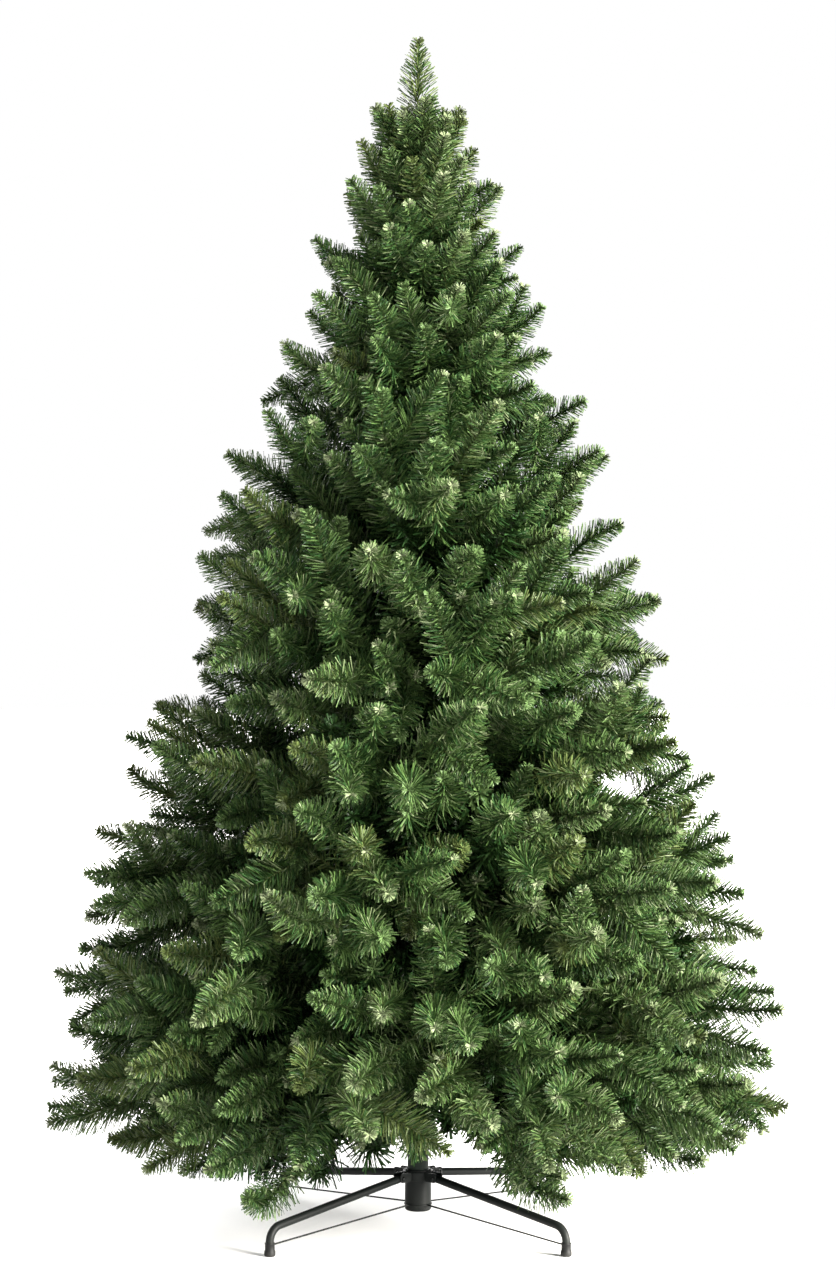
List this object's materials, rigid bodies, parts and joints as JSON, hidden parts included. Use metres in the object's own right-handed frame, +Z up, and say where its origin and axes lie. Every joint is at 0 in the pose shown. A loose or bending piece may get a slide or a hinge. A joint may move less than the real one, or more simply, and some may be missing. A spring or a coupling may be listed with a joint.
{
  "type": "artificial christmas tree on a folding stand",
  "caption": "Undecorated artificial christmas tree: a steel pole with rings of hinged boughs, branching twigs with sprays of needles, and a folding stand of bent legs with thin braces.",
  "frame": {"origin": "on the floor, on the axis of the pole, midway between the four feet", "axes": "+Z up along the pole, front towards -Y, +X to the right of the pictured view"},
  "size_m": [1.1179, 1.1253, 1.8],
  "materials": {
    "needles": "matte",
    "bough_rod": "satin",
    "pole_paint": "satin",
    "stand_paint": "satin",
    "foot_plastic": "matte",
    "screw_steel": "satin"
  },
  "bodies": {
    "root": {"bough_1": "bough_rod", "bough_2": "bough_rod", "bough_3": "bough_rod", "bough_4": "bough_rod", "bough_5": "bough_rod", "bough_6": "bough_rod", "brace_back_left": "stand_paint", "brace_back_right": "stand_paint", "brace_front_left": "stand_paint", "brace_front_right": "stand_paint", "clamp_screw": "screw_steel", "foliage_tier1_1": "needles", "foliage_tier1_2": "needles", "foliage_tier1_3": "needles", "foliage_tier1_4": "needles", "foliage_tier1_5": "needles", "foliage_tier1_6": "needles", "foliage_tier2_1": "needles", "foliage_tier2_2": "needles", "foliage_tier2_3": "needles", "foliage_tier2_4": "needles", "foliage_tier2_5": "needles", "foliage_tier2_6": "needles", "foliage_tier3_1": "needles", "foliage_tier3_2": "needles", "foliage_tier3_3": "needles", "foliage_tier3_4": "needles", "foliage_tier3_5": "needles", "foliage_tier3_6": "needles", "foliage_tier4_1": "needles", "foliage_tier4_2": "needles", "foliage_tier4_3": "needles", "foliage_tier4_4": "needles", "foliage_tier4_5": "needles", "foliage_tier5_1": "needles", "foliage_tier5_2": "needles", "foliage_tier5_3": "needles", "foliage_tier5_4": "needles", "foliage_tier5_5": "needles", "foliage_tier6_1": "needles", "foliage_tier6_2": "needles", "foliage_tier6_3": "needles", "foliage_tier6_4": "needles", "foliage_tier7_1": "needles", "foliage_tier7_2": "needles", "foliage_tier7_3": "needles", "foliage_tier7_4": "needles", "foliage_top": "needles", "foot_back_left": "foot_plastic", "foot_back_right": "foot_plastic", "foot_front_left": "foot_plastic", "foot_front_right": "foot_plastic", "leg_back_left": "stand_paint", "leg_back_right": "stand_paint", "leg_collar": "stand_paint", "leg_front_left": "stand_paint", "leg_front_right": "stand_paint", "stand_tube": "stand_paint", "trunk_pole": "pole_paint"}
  },
  "joints": []
}
